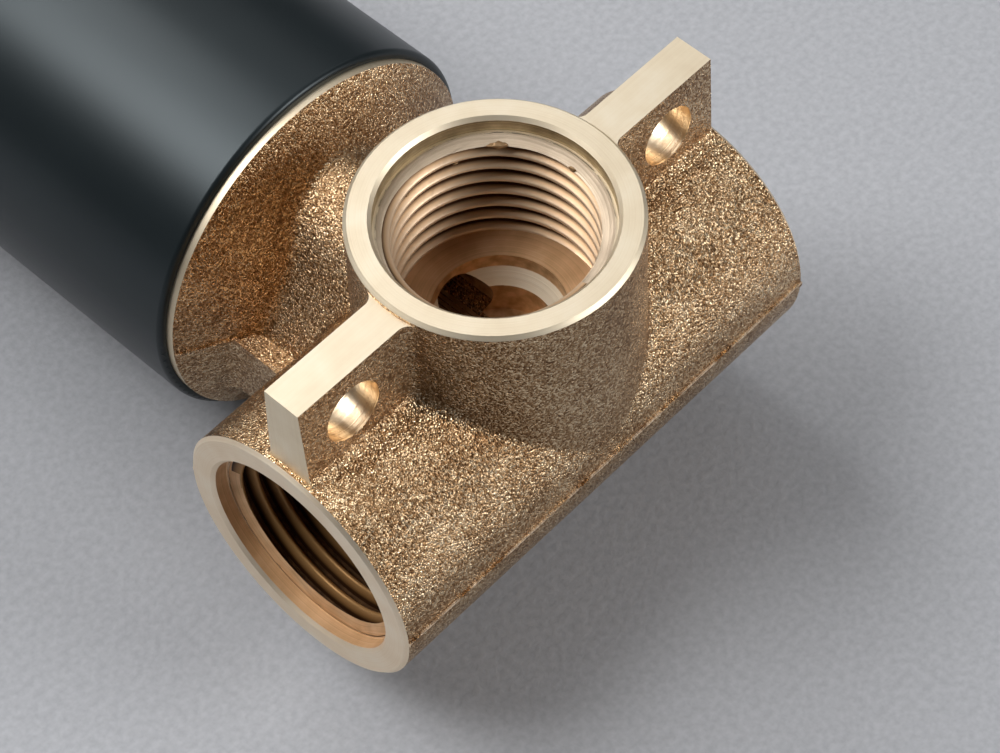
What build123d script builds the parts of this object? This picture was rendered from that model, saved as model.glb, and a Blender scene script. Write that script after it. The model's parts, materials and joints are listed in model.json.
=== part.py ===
from build123d import *
import math
import os

os.makedirs("parts", exist_ok=True)

# Concealed shower valve, in millimetres.
# The brass body is built into the wall. Its cross tube runs along X with a hot inlet at -X and a
# cold inlet at +X, its boss points up (+Z) to the shower pipe, and its chamber points to the room (-Y).
# The origin is where the line of the two inlets crosses the axis of the boss.
# Distances towards the room are called depths: a depth d is the plane y = -d.

# Cross tube and boss, as cast
tube_r = 13.7
port_half = 27.0
boss_inset = 0.4
boss_top = 24.4
boss_draft = 0.5
boss_fillet = 1.5
edge_break = 0.35
seam_h = 0.2
seam_w = 0.5

# Half-inch pipe threads, drawn as the bore that the thread is cut into
thread_r = 10.48
mouth_r = 10.8
mouth_depth = 1.7
thread_len = 12.7
step_r = 6.4
step_depth = 1.6
cone_depth = 1.3
well_r = 5.1
well_floor = 3.5
inlet_r = 6.0
inlet_reach = 4.6
drill_tip = 1.2

# Fixing lugs
lug_inset = 0.8
lug_lower = 0.7
lug_t = 4.0
lug_draft = 2.5
lug_fillet = 1.2
lug_hole_r = 3.1
lug_hole_from_end = 5.9
lug_hole_from_top = 5.3

# Neck and back of the chamber
cone_edge = 24.3
cone_slope = 0.555
cone_small = 7.0
neck_fillet = 1.5
neck_reach = 3.7
arch_step = 2.2
arch_round_r = 6.6
arch_wall = 4.6
block_side_wall = 2.2
block_floor_wall = 1.3

# Chamber and its ducts
seat_ring_w = 0.8
seat_wall = 5.9
chamber_wall = 4.05
nut_thread_step = 1.4
nut_grip = 7.93
duct_r = 3.0
duct_angle = 25.5
outlet_duct_r = 3.2
outlet_duct_z = 5.8
outlet_duct_end = 1.5
peg_r = 1.6
peg_h = 2.2
peg_angle = 28.8
peg_wall = 1.65

# Cover sleeve and its O-rings
sleeve_r = 20.0
sleeve_wall = 0.8
sleeve_edge_r = 0.6
slide_gap = 0.05
ring_relief = 0.01
ring_section = 1.5
ring_groove_w = 2.2
rear_ring_inset = 3.9
ring_spacing = 18.0
cap_ring_t = 3.4
cap_ring_inset = 0.6
cap_ring_bore = 9.3

# Ceramic cartridge, stacked from the seat outwards
cartridge_gap = 0.2
base_h = 5.0
gasket_h = 1.0
disc_h = 3.0
driver_h = 3.6
prong_h = 1.4
stem_flange_h = 2.0
washer_h = 0.8
shell_top_t = 3.6
neck_len = 14.0
shell_wall = 2.9
disc_inset = 0.8
gasket_inset = 0.5
seal_r = 4.5
seal_wall = 0.65
seal_h = 1.5
shell_neck_r = 8.0
stem_flange_r = 7.0
washer_rim = 1.0
stem_r = 4.0
stem_gap = 0.08
tongue_w = 9.0
tongue_t = 3.6
tongue_depth = 2.0
stem_ring_section = 1.15
stem_groove_r = 2.9
stem_groove_w = 1.7
stem_ring_inset = 1.43
stem_ring_spacing = 4.0
spline_r = 3.8
spline_teeth = 18
spline_depth = 0.45
stem_collar = 1.5
stem_inset = 1.5
clip_t = 0.8
clip_r = 5.6
clip_groove_r = 3.3
clip_mouth = 4.4
play = 0.3
disc_film = 0.02
kidney_in = 6.0
kidney_margin = 1.5
kidney_from = 15
kidney_to = 80
pocket_span = 100
pocket_depth = 1.8
prong_w = 3.0
prong_reach = 1.4
prong_gap = 0.2
driver_rim = 0.2
shell_ring_inset = 6.0

# Nut and stop ring
nut_hex = 28.0
nut_hex_h = 4.0
nut_bore = 9.0
stop_ring_h = 1.6
stop_tab_w = 3.0
stop_tab_h = 2.5
stop_ring_r = 10.5

# Handle
knob_gap = 0.6
knob_len = 24.0
knob_wall = 2.2
knob_front_t = 7.5
knob_edge = 0.8
hub_r = 8.4
adapter_r = 5.6
adapter_len = 15.0
hub_gap = 3.93
hub_reach = 8.0
grub_r = 2.5
grub_len = 5.5
grub_socket = 2.2
grub_hex = 2.5
grub_inset = 4.2
plug_t = 1.6
plug_inset = 0.15

# Slack for finding an edge by its place, and how far a cut runs past a face
near = 0.3
overrun = 1.0

# Places worked out from the sizes above
boss_r = tube_r - boss_inset
boss_root_r = boss_r + boss_top * math.tan(math.radians(boss_draft))
lug_end = port_half - lug_inset
lug_top = boss_top - lug_lower
lug_hole_x = lug_end - lug_hole_from_end
lug_hole_z = lug_top - lug_hole_from_top
lug_root = lug_t + 2 * lug_top * math.tan(math.radians(lug_draft))
outlet_shoulder = boss_top - mouth_depth - thread_len
inlet_shoulder = port_half - mouth_depth - thread_len
inlet_end = inlet_shoulder - inlet_reach
head_r = sleeve_r - sleeve_wall - slide_gap
seat_r = head_r - chamber_wall
nut_thread_r = seat_r + nut_thread_step
sleeve_start = cone_edge + seat_ring_w
seat = sleeve_start + seat_wall
rear_ring = sleeve_start + rear_ring_inset
ring_depths = (rear_ring, rear_ring + ring_spacing)
cone_back = cone_edge - cone_slope * (head_r - cone_small)
seam_end = head_r - seam_h / 2
sleeve_bore = head_r + slide_gap
groove_root_r = sleeve_bore - ring_section
cartridge_r = seat_r - cartridge_gap
duct_circle = cartridge_r - seal_r - seal_wall
duct_x = duct_circle * math.cos(math.radians(duct_angle))
duct_z = duct_circle * math.sin(math.radians(duct_angle))
peg_circle = cartridge_r - peg_r - peg_wall
peg_x = peg_circle * math.cos(math.radians(peg_angle))
peg_z = peg_circle * math.sin(math.radians(peg_angle))
block_half = duct_x + duct_r + block_side_wall
block_h = duct_z + duct_r + block_floor_wall
arch_half = block_half - arch_step
arch_top = outlet_duct_z + outlet_duct_r + arch_wall
disc_r = cartridge_r - shell_wall
moving_disc_r = disc_r - disc_inset
gasket_r = disc_r - gasket_inset
driver_r = moving_disc_r + driver_rim
kidney_out = disc_r - kidney_margin
base_top = seat + base_h
gasket_seat = base_top - gasket_h
fixed_top = base_top + disc_h
moving_bottom = fixed_top + disc_film
moving_top = moving_bottom + disc_h
driver_top = moving_top + driver_h
flange_top = driver_top + stem_flange_h
washer_start = flange_top + slide_gap
washer_top = washer_start + washer_h
shell_top = washer_top + shell_top_t
head_front = shell_top + nut_grip
shell_ring_depth = base_top + shell_ring_inset
first_stem_ring = shell_top + stem_ring_inset
stem_ring_depths = (first_stem_ring, first_stem_ring + stem_ring_spacing)
washer_r = stem_flange_r + washer_rim
nut_zone = shell_top - play
shell_neck_end = shell_top + neck_len
stem_bore = stem_r + stem_gap
clip_start = shell_neck_end + play
stem_shoulder = clip_start + clip_t + stem_collar
nut_top = head_front + nut_hex_h
stop_ring_start = nut_top + play
stop_ring_end = stop_ring_start + stop_ring_h
hub_start = stem_shoulder + hub_gap
knob_start = hub_start + hub_reach
sleeve_end = knob_start - knob_gap
cap_ring_end = sleeve_end - cap_ring_inset
cap_ring_start = cap_ring_end - cap_ring_t
knob_end = knob_start + knob_len
knob_floor = knob_end - knob_front_t
adapter_end = hub_start + adapter_len
stem_end = adapter_end - stem_inset
grub_depth = knob_start + grub_inset
grub_start = spline_r + slide_gap
plug_start = sleeve_r - plug_t - plug_inset

# The side of the arch touches its round top here
arch_z = arch_top - arch_round_r
touch_angle = math.acos(arch_round_r / math.hypot(arch_half, arch_z)) - math.atan2(arch_z, arch_half)
touch_x = arch_round_r * math.cos(touch_angle)
touch_z = arch_z + arch_round_r * math.sin(touch_angle)


def room(depth):
    """Plane across the sleeve's axis at a depth, with X along X, Y along Z and its normal to the room."""
    return Plane(origin=(0, -depth, 0), x_dir=(1, 0, 0), z_dir=(0, -1, 0))


def under(drop):
    """Plane below the sleeve's axis at the grub screw, with its normal down."""
    return Plane(origin=(0, -grub_depth, -drop), x_dir=(1, 0, 0), z_dir=(0, 0, -1))


def middle(edge):
    """Point half way along an edge."""
    return edge.position_at(0.5)


def cone_depth_at(radius):
    """Depth of the back cone of the chamber at a radius."""
    return cone_edge - cone_slope * (head_r - radius)


def turned(outline):
    """Solid of revolution about the sleeve's axis, from (radius, depth) corners."""
    with BuildPart() as piece:
        with BuildSketch(Plane.YZ):
            with BuildLine():
                Polyline([(-depth, -radius) for radius, depth in outline], close=True)
            make_face()
        revolve(axis=Axis.Y)
    return piece


def turned_ring(outer, inner, start, end):
    """Plain ring about the sleeve's axis."""
    return turned([(inner, start), (outer, start), (outer, end), (inner, end)])


def o_ring(depth, inner, section):
    """Rubber ring of round section about the sleeve's axis."""
    with BuildPart() as ring:
        with BuildSketch(Plane.YZ):
            with Locations((-depth, -(inner + section / 2))):
                Circle(section / 2 - ring_relief)
        revolve(axis=Axis.Y)
    return ring


def on_circle(radius, angle):
    """Point of a circle round the origin of a sketch, at an angle in degrees."""
    return (radius * math.cos(math.radians(angle)), radius * math.sin(math.radians(angle)))


def arc(radius, first, last):
    """Arc round the origin of a sketch, from one angle to another."""
    return ThreePointArc(*[on_circle(radius, angle) for angle in (first, (first + last) / 2, last)])


def disc_ports():
    """Openings of the fixed disc: two kidneys over the inlets, and a slot from the outlet to the centre."""
    with BuildSketch() as ports:
        for side in (-1, 1):
            near_end = 270 + side * kidney_from
            far_end = 270 + side * kidney_to
            with BuildLine():
                inner = arc(kidney_in, near_end, far_end)
                outer = arc(kidney_out, far_end, near_end)
                Line(inner @ 1, outer @ 0)
                Line(outer @ 1, inner @ 0)
            make_face()
        with Locations((0, outlet_duct_z / 2)):
            SlotCenterToCenter(outlet_duct_z, 2 * outlet_duct_r, rotation=90)
    return ports.sketch


# Valve body: one brass casting, then machined
with BuildPart() as valve_body:
    # Cross tube and outlet boss
    with BuildSketch(Plane.YZ):
        Circle(tube_r)
    extrude(amount=port_half, both=True)
    chamfer(valve_body.edges().filter_by(GeomType.CIRCLE), edge_break)
    with BuildSketch(Plane.XZ):
        with BuildLine():
            Polyline(
                (0, 0),
                (boss_root_r, 0),
                (boss_r, boss_top - edge_break),
                (boss_r - edge_break, boss_top),
                (0, boss_top),
                close=True,
            )
        make_face()
    revolve(axis=Axis.Z)
    fillet(valve_body.edges().filter_by(GeomType.BSPLINE), boss_fillet)
    # Fixing lugs: one plate across the boss, with draft on both faces
    with BuildSketch(Plane.XY.offset(lug_top)):
        Rectangle(2 * lug_end, lug_t)
    with BuildSketch(Plane.XY):
        Rectangle(2 * lug_end, lug_root)
    loft()
    lug_corners = valve_body.edges(Select.LAST).filter_by(
        lambda edge: middle(edge).Z < lug_top - near
        and abs(middle(edge).X) < lug_end - near
        and abs(middle(edge).Y) > lug_t / 4
    )
    fillet(lug_corners, lug_fillet)
    # Neck: an arch over the outlet duct, on a wider block that holds both inlet ducts
    with BuildSketch(Plane.XZ):
        with BuildLine():
            Polyline((-touch_x, touch_z), (-arch_half, 0), (arch_half, 0), (touch_x, touch_z))
            ThreePointArc((touch_x, touch_z), (0, arch_top), (-touch_x, touch_z))
        make_face()
        with Locations((0, -block_h / 2)):
            Rectangle(2 * block_half, block_h)
    extrude(amount=cone_edge)
    # Back cone of the chamber and the turned head that the sleeve covers
    with BuildSketch(Plane.YZ):
        with BuildLine():
            Polyline(
                (-cone_back, 0),
                (-cone_back, -cone_small),
                (-cone_edge, -head_r),
                (-head_front, -head_r),
                (-head_front, 0),
                close=True,
            )
        make_face()
    revolve(axis=Axis.Y)
    neck_corners = valve_body.edges().filter_by(
        lambda edge: -cone_edge < middle(edge).Y < -(tube_r - neck_reach)
        and abs(middle(edge).X) < block_half + near
        and not (abs(middle(edge).X) > block_half - near and edge.geom_type == GeomType.LINE)
        and not (edge.geom_type == GeomType.LINE and middle(edge).Z > -near)
    )
    fillet(neck_corners, neck_fillet)
    # Flash where the two halves of the mould met: a low ridge all round, in the plane of the inlets
    with BuildSketch(Plane.XY):
        for grow, mode in ((seam_h, Mode.ADD), (-seam_h, Mode.SUBTRACT)):
            with BuildLine():
                Polyline(
                    (0, tube_r + grow),
                    (port_half - edge_break, tube_r + grow),
                    (port_half - edge_break, -tube_r - grow),
                    (block_half + grow, -tube_r - grow),
                    (block_half + grow, -cone_depth_at(block_half) + grow),
                    (seam_end, -cone_depth_at(seam_end) + grow),
                    (seam_end, -sleeve_start),
                    (0, -sleeve_start),
                    close=True,
                )
            make_face(mode=mode)
        mirror(about=Plane.YZ)
    extrude(amount=seam_w / 2, both=True)
    # Outlet: mouth, thread, step, drilled cone and well, bored from the top of the boss
    with BuildSketch(Plane.XZ):
        with BuildLine():
            Polyline(
                (0, boss_top),
                (mouth_r + edge_break, boss_top),
                (mouth_r, boss_top - edge_break),
                (mouth_r, boss_top - mouth_depth),
                (thread_r, boss_top - mouth_depth),
                (thread_r, outlet_shoulder),
                (step_r, outlet_shoulder),
                (step_r, outlet_shoulder - step_depth),
                (well_r, outlet_shoulder - step_depth - cone_depth),
                (well_r, well_floor),
                (0, well_floor),
                close=True,
            )
        make_face()
    revolve(axis=Axis.Z, mode=Mode.SUBTRACT)
    # Inlets: mouth, thread and a drilled bore, the same at both ends of the tube
    for side in (-1, 1):
        with BuildSketch(Plane.XZ):
            with BuildLine():
                Polyline(
                    (side * port_half, 0),
                    (side * port_half, mouth_r + edge_break),
                    (side * (port_half - edge_break), mouth_r),
                    (side * (port_half - mouth_depth), mouth_r),
                    (side * (port_half - mouth_depth), thread_r),
                    (side * inlet_shoulder, thread_r),
                    (side * inlet_shoulder, inlet_r),
                    (side * inlet_end, inlet_r),
                    (side * (inlet_end - drill_tip), 0),
                    close=True,
                )
            make_face()
        revolve(axis=Axis.X, mode=Mode.SUBTRACT)
    # Chamber for the cartridge, with the wider thread for its nut
    with BuildSketch(Plane.YZ):
        with BuildLine():
            Polyline(
                (-seat, 0),
                (-seat, -seat_r),
                (-nut_zone, -seat_r),
                (-nut_zone, -nut_thread_r),
                (-head_front, -nut_thread_r),
                (-head_front, 0),
                close=True,
            )
        make_face()
    revolve(axis=Axis.Y, mode=Mode.SUBTRACT)
    # Ducts from the seat of the cartridge: two to the inlets, one to the outlet
    with BuildSketch(room(seat)):
        with Locations((-duct_x, -duct_z), (duct_x, -duct_z)):
            Circle(duct_r)
    extrude(amount=-(seat - duct_r), mode=Mode.SUBTRACT)
    with BuildSketch(room(seat)):
        with Locations((0, outlet_duct_z)):
            Circle(outlet_duct_r)
    extrude(amount=-(seat - outlet_duct_end), mode=Mode.SUBTRACT)
    # Two blind holes that locate the cartridge
    with BuildSketch(room(seat)):
        with Locations((-peg_x, peg_z), (peg_x, peg_z)):
            Circle(peg_r + slide_gap)
    extrude(amount=-(peg_h + play), mode=Mode.SUBTRACT)
    # Grooves for the O-rings under the sleeve
    for depth in ring_depths:
        with BuildSketch(Plane.YZ):
            with Locations((-depth, -(groove_root_r + ring_section))):
                Rectangle(ring_groove_w, 2 * ring_section)
        revolve(axis=Axis.Y, mode=Mode.SUBTRACT)
    # Holes through the lugs
    with BuildSketch(Plane.XZ):
        with Locations((-lug_hole_x, lug_hole_z), (lug_hole_x, lug_hole_z)):
            Circle(lug_hole_r)
    extrude(amount=lug_root, both=True, mode=Mode.SUBTRACT)

# Cover sleeve: a thin tube with rounded ends
with BuildPart() as cover_sleeve:
    add(turned_ring(sleeve_r, sleeve_bore, sleeve_start, sleeve_end).part)
    outer_rims = cover_sleeve.edges().filter_by(
        lambda edge: edge.geom_type == GeomType.CIRCLE and edge.radius > sleeve_r - near
    )
    fillet(outer_rims, sleeve_edge_r)

rear_sleeve_seal = o_ring(ring_depths[0], groove_root_r, ring_section)
front_sleeve_seal = o_ring(ring_depths[1], groove_root_r, ring_section)
sleeve_cap_ring = turned_ring(sleeve_bore - slide_gap, cap_ring_bore, cap_ring_start, cap_ring_end)

# Rubber rings between the seat and the base of the cartridge
port_places = {
    "hot_port_seal": (-duct_x, -duct_z),
    "cold_port_seal": (duct_x, -duct_z),
    "outlet_port_seal": (0, outlet_duct_z),
}
port_seals = {}
for seal_name, (seal_x, seal_z) in port_places.items():
    with BuildPart() as one_seal:
        with BuildSketch(room(seat)):
            with Locations((seal_x, seal_z)):
                Circle(seal_r)
                Circle(outlet_duct_r if seal_x == 0 else duct_r, mode=Mode.SUBTRACT)
        extrude(amount=seal_h)
    port_seals[seal_name] = one_seal

# Base of the cartridge: pegs and seal pockets underneath, a shallow recess on top
with BuildPart() as cartridge_base:
    with BuildSketch(room(seat)):
        Circle(cartridge_r)
    extrude(amount=base_h)
    with BuildSketch(room(seat)):
        with Locations((-peg_x, peg_z), (peg_x, peg_z)):
            Circle(peg_r)
    extrude(amount=-peg_h)
    with BuildSketch(room(seat)):
        with Locations(*port_places.values()):
            Circle(seal_r + slide_gap)
    extrude(amount=seal_h, mode=Mode.SUBTRACT)
    with BuildSketch(room(seat)):
        with Locations((-duct_x, -duct_z), (duct_x, -duct_z)):
            Circle(duct_r)
        with Locations((0, outlet_duct_z)):
            Circle(outlet_duct_r)
    extrude(amount=base_h, mode=Mode.SUBTRACT)
    with BuildSketch(room(base_top)):
        Circle(gasket_r + slide_gap)
    extrude(amount=-gasket_h, mode=Mode.SUBTRACT)

# Flat gasket and fixed ceramic disc, with the same three openings
with BuildPart() as disc_gasket:
    with BuildSketch(room(gasket_seat)):
        Circle(gasket_r)
        add(disc_ports(), mode=Mode.SUBTRACT)
    extrude(amount=gasket_h)
with BuildPart() as fixed_disc:
    with BuildSketch(room(base_top)):
        Circle(disc_r)
        add(disc_ports(), mode=Mode.SUBTRACT)
    extrude(amount=disc_h)

# Moving ceramic disc: a pocket in its face that turns from closed to cold, mixed and hot
with BuildPart() as moving_disc:
    with BuildSketch(room(moving_bottom)):
        Circle(moving_disc_r)
    extrude(amount=disc_h)
    with BuildSketch(room(moving_bottom)):
        Circle(outlet_duct_r + play)
        with BuildLine():
            pocket_edge = arc(kidney_out, 0, pocket_span)
            Line((0, 0), pocket_edge @ 0)
            Line(pocket_edge @ 1, (0, 0))
        make_face()
    extrude(amount=pocket_depth, mode=Mode.SUBTRACT)
    with BuildSketch(room(moving_top - prong_h)):
        with Locations((-moving_disc_r, 0), (moving_disc_r, 0)):
            Rectangle(2 * prong_reach, prong_w)
    extrude(amount=prong_h, mode=Mode.SUBTRACT)

# Driver: a plastic plate whose prongs turn the moving disc, with a slot for the tongue of the stem
with BuildPart() as disc_driver:
    with BuildSketch(room(moving_top)):
        Circle(driver_r)
    extrude(amount=driver_h)
    with BuildSketch(room(moving_top)):
        Circle(moving_disc_r)
        Circle(moving_disc_r - prong_reach + prong_gap, mode=Mode.SUBTRACT)
        Rectangle(2 * driver_r, prong_w - 2 * slide_gap, mode=Mode.INTERSECT)
    extrude(amount=-prong_h + slide_gap)
    with BuildSketch(room(driver_top)):
        Rectangle(tongue_w + 2 * slide_gap, tongue_t + 2 * slide_gap)
    extrude(amount=-tongue_depth, mode=Mode.SUBTRACT)

# Stem: flange, sealed shaft and splined end
with BuildPart() as stem:
    add(turned([
        (0, driver_top),
        (stem_flange_r, driver_top),
        (stem_flange_r, flange_top),
        (stem_r, flange_top),
        (stem_r, stem_shoulder),
        (0, stem_shoulder),
    ]).part)
    with BuildSketch(room(driver_top)):
        Rectangle(tongue_w, tongue_t)
    extrude(amount=-(tongue_depth - slide_gap))
    with BuildSketch(room(stem_shoulder)):
        Circle(spline_r)
        with PolarLocations(spline_r, spline_teeth):
            Rectangle(2 * spline_depth, math.pi * spline_r / spline_teeth, mode=Mode.SUBTRACT)
    extrude(amount=stem_end - stem_shoulder)
    for depth in stem_ring_depths:
        with BuildSketch(Plane.YZ):
            with Locations((-depth, -(stem_groove_r + stem_r) / 2 - slide_gap)):
                Rectangle(stem_groove_w, stem_r - stem_groove_r + 2 * slide_gap)
        revolve(axis=Axis.Y, mode=Mode.SUBTRACT)
    with BuildSketch(Plane.YZ):
        with Locations((-(clip_start + clip_t / 2), -(clip_groove_r + stem_r) / 2 - slide_gap)):
            Rectangle(clip_t + 2 * slide_gap, stem_r - clip_groove_r + 2 * slide_gap)
    revolve(axis=Axis.Y, mode=Mode.SUBTRACT)

inner_stem_seal = o_ring(stem_ring_depths[0], stem_groove_r, stem_ring_section)
outer_stem_seal = o_ring(stem_ring_depths[1], stem_groove_r, stem_ring_section)
thrust_washer = turned_ring(washer_r, stem_r + 2 * slide_gap, washer_start, washer_top)

# Shell of the cartridge: a moulded cup over the discs, with a long neck around the stem
with BuildPart() as cartridge_shell:
    add(turned([
        (disc_r + play, base_top),
        (cartridge_r, base_top),
        (cartridge_r, shell_top),
        (shell_neck_r, shell_top),
        (shell_neck_r, shell_neck_end),
        (stem_bore, shell_neck_end),
        (stem_bore, washer_top),
        (washer_r + slide_gap, washer_top),
        (washer_r + slide_gap, driver_top + play),
        (disc_r + play, driver_top + play),
    ]).part)
    with BuildSketch(Plane.YZ):
        with Locations((-shell_ring_depth, -(seat_r - ring_section / 2))):
            Rectangle(ring_groove_w, ring_section)
    revolve(axis=Axis.Y, mode=Mode.SUBTRACT)
shell_seal = o_ring(shell_ring_depth, seat_r - ring_section, ring_section)

# Brass nut that clamps the cartridge in the chamber
with BuildPart() as ring_nut:
    with BuildSketch(room(shell_top)):
        Circle(nut_thread_r - slide_gap)
    extrude(amount=head_front - shell_top)
    with BuildSketch(room(head_front)):
        RegularPolygon(nut_hex / 2, 6, major_radius=False)
    extrude(amount=nut_hex_h)
    with BuildSketch(room(shell_top)):
        Circle(nut_bore)
    extrude(amount=nut_top - shell_top, mode=Mode.SUBTRACT)

# Stop ring on the neck of the cartridge, with the tab that limits the turn
with BuildPart() as stop_ring:
    add(turned_ring(stop_ring_r, shell_neck_r + slide_gap, stop_ring_start, stop_ring_end).part)
    with BuildSketch(room(stop_ring_end)):
        with Locations((0, (stop_ring_r + shell_neck_r) / 2)):
            Rectangle(stop_tab_w, stop_ring_r - shell_neck_r - 2 * play)
    extrude(amount=stop_tab_h)

# Spring clip in the groove of the stem, open at the bottom
with BuildPart() as stem_clip:
    with BuildSketch(room(clip_start)):
        Circle(clip_r)
        Circle(clip_groove_r + slide_gap, mode=Mode.SUBTRACT)
        with Locations((0, -clip_r)):
            Rectangle(clip_mouth, 2 * clip_r, mode=Mode.SUBTRACT)
    extrude(amount=clip_t)

# Handle: a turned cup with a hub, a splined adapter, and a grub screw under a plug
with BuildPart() as spline_adapter:
    with BuildSketch(room(hub_start)):
        Circle(adapter_r)
        Circle(spline_r + slide_gap, mode=Mode.SUBTRACT)
    extrude(amount=adapter_len)
    with BuildSketch(under(0)):
        Circle(grub_r + slide_gap)
    extrude(amount=adapter_r + overrun, mode=Mode.SUBTRACT)

with BuildPart() as handle_knob:
    add(turned([
        (adapter_r + slide_gap, hub_start),
        (hub_r, hub_start),
        (hub_r, knob_floor),
        (sleeve_r - knob_wall, knob_floor),
        (sleeve_r - knob_wall, knob_start),
        (sleeve_r, knob_start),
        (sleeve_r, knob_end),
        (0, knob_end),
        (0, adapter_end + play),
        (adapter_r + slide_gap, adapter_end + play),
    ]).part)
    for from_front, edge_r in ((0, knob_edge), (-1, sleeve_edge_r)):
        rims = handle_knob.edges().filter_by(
            lambda edge: edge.geom_type == GeomType.CIRCLE and edge.radius > sleeve_r - near
        )
        fillet(rims.sort_by(Axis.Y)[from_front], edge_r)
    with BuildSketch(under(0)):
        Circle(grub_r + slide_gap)
    extrude(amount=sleeve_r + overrun, mode=Mode.SUBTRACT)

with BuildPart() as grub_screw:
    with BuildSketch(under(grub_start)):
        Circle(grub_r)
    extrude(amount=grub_len)
    with BuildSketch(under(grub_start + grub_len)):
        RegularPolygon(grub_hex / 2, 6, major_radius=False)
    extrude(amount=-grub_socket, mode=Mode.SUBTRACT)

with BuildPart() as screw_plug:
    with BuildSketch(under(plug_start)):
        Circle(grub_r)
    extrude(amount=plug_t)

pieces = {
    "valve_body": valve_body,
    "cover_sleeve": cover_sleeve,
    "rear_sleeve_seal": rear_sleeve_seal,
    "front_sleeve_seal": front_sleeve_seal,
    "sleeve_cap_ring": sleeve_cap_ring,
    "cartridge_base": cartridge_base,
    "disc_gasket": disc_gasket,
    "fixed_disc": fixed_disc,
    "moving_disc": moving_disc,
    "disc_driver": disc_driver,
    "stem": stem,
    "inner_stem_seal": inner_stem_seal,
    "outer_stem_seal": outer_stem_seal,
    "thrust_washer": thrust_washer,
    "cartridge_shell": cartridge_shell,
    "shell_seal": shell_seal,
    "ring_nut": ring_nut,
    "stop_ring": stop_ring,
    "stem_clip": stem_clip,
    "spline_adapter": spline_adapter,
    "handle_knob": handle_knob,
    "grub_screw": grub_screw,
    "screw_plug": screw_plug,
}
pieces.update(port_seals)
for name, piece in pieces.items():
    piece.part.label = name
    export_step(piece.part, "parts/" + name + ".step")
print(len(pieces), "pieces")
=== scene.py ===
# %% [markdown]
# # A concealed shower valve, dressed for its photograph
# The real object is a cast brass body with three pipe threads, two drilled
# fixing lugs and a black coated sleeve that hides the cartridge. The frame
# gives every piece its place and size. This lesson gives each one its surface:
# sand-cast skin, turned and milled faces, cut threads, coatings and plastics.

# %% Open the frame
import json
import math
import bmesh
import bpy
from mathutils import Matrix, Vector, noise


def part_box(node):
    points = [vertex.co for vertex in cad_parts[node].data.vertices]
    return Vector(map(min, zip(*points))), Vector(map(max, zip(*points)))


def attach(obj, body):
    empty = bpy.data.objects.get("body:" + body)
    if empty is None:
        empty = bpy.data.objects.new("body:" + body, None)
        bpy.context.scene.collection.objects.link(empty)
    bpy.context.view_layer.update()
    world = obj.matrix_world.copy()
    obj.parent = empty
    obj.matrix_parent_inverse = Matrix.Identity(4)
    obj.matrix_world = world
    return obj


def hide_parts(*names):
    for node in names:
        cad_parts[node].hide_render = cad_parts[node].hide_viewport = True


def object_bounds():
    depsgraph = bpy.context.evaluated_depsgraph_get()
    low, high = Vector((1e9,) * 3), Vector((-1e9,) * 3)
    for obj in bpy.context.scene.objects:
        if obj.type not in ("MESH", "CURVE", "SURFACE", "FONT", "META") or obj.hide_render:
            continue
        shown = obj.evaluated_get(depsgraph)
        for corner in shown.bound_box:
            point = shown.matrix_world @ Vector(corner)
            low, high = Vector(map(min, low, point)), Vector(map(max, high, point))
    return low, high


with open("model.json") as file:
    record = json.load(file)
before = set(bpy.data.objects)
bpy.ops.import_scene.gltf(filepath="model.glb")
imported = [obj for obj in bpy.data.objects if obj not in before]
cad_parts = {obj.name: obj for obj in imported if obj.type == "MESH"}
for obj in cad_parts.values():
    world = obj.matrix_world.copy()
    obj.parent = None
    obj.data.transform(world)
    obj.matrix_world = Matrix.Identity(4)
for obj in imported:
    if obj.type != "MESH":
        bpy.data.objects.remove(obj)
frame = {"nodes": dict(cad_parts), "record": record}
cad_low, cad_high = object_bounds()
MM = 0.001

# %% [markdown]
# ## The camera
# The photograph looks down on the valve from behind its wall side, with a
# long lens that keeps the tubes nearly parallel. The place and the turn were
# worked out by matching the rims of the ports with circles of known size.
# The same matching gave a focal length of 3166 pixels for a picture that is
# 1000 pixels wide, and the lens follows from it.

# %% Camera
PICTURE_WIDTH = 1000
FOCAL_PIXELS = 3166.0
SENSOR = 36.0
camera_place = Vector((117.92, 119.71, 242.26)) * MM
looking = Vector((-0.39900, -0.40629, -0.82203)).normalized()
upward = Vector((-0.61043, -0.55126, 0.56876))
sideways = looking.cross(upward).normalized()
upward = sideways.cross(looking)

camera_data = bpy.data.cameras.new("camera")
camera_data.sensor_width = SENSOR
camera_data.lens = FOCAL_PIXELS / PICTURE_WIDTH * SENSOR
camera_data.clip_start = 10 * MM
camera = bpy.data.objects.new("camera", camera_data)
turn = Matrix((sideways, upward, -looking)).transposed().to_4x4()
camera.matrix_world = Matrix.Translation(camera_place) @ turn
bpy.context.scene.collection.objects.link(camera)
bpy.context.scene.camera = camera
bpy.context.scene.view_settings.view_transform = "Standard"
print("camera: lens", round(camera_data.lens, 1), "mm")

# %% [markdown]
# ## Small helpers for shader nodes
# A shader is a chain of nodes. Each node is made, given its settings and
# joined to the nodes before it. Doing that in one call keeps every recipe
# below short: a value that is a socket is joined, any other value is set. The
# mixer has several sockets of the same name, so it is wired by their numbers.

# %% Node helpers
def add_node(tree, kind, inputs=None, **settings):
    node = tree.nodes.new("ShaderNode" + kind)
    for name, value in settings.items():
        setattr(node, name, value)
    for name, value in (inputs or {}).items():
        if isinstance(value, bpy.types.NodeSocket):
            tree.links.new(value, node.inputs[name])
        else:
            node.inputs[name].default_value = value
    return node


def add_math(tree, operation, first, second):
    return add_node(tree, "Math", {0: first, 1: second}, operation=operation).outputs[0]


def add_ramp(tree, factor, stops):
    node = add_node(tree, "ValToRGB", {"Fac": factor})
    ramp = node.color_ramp
    while len(ramp.elements) < len(stops):
        ramp.elements.new(0.5)
    for element, (place, colour) in zip(ramp.elements, stops):
        element.position = place
        element.color = (*colour, 1.0)
    return node.outputs["Color"]


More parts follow.
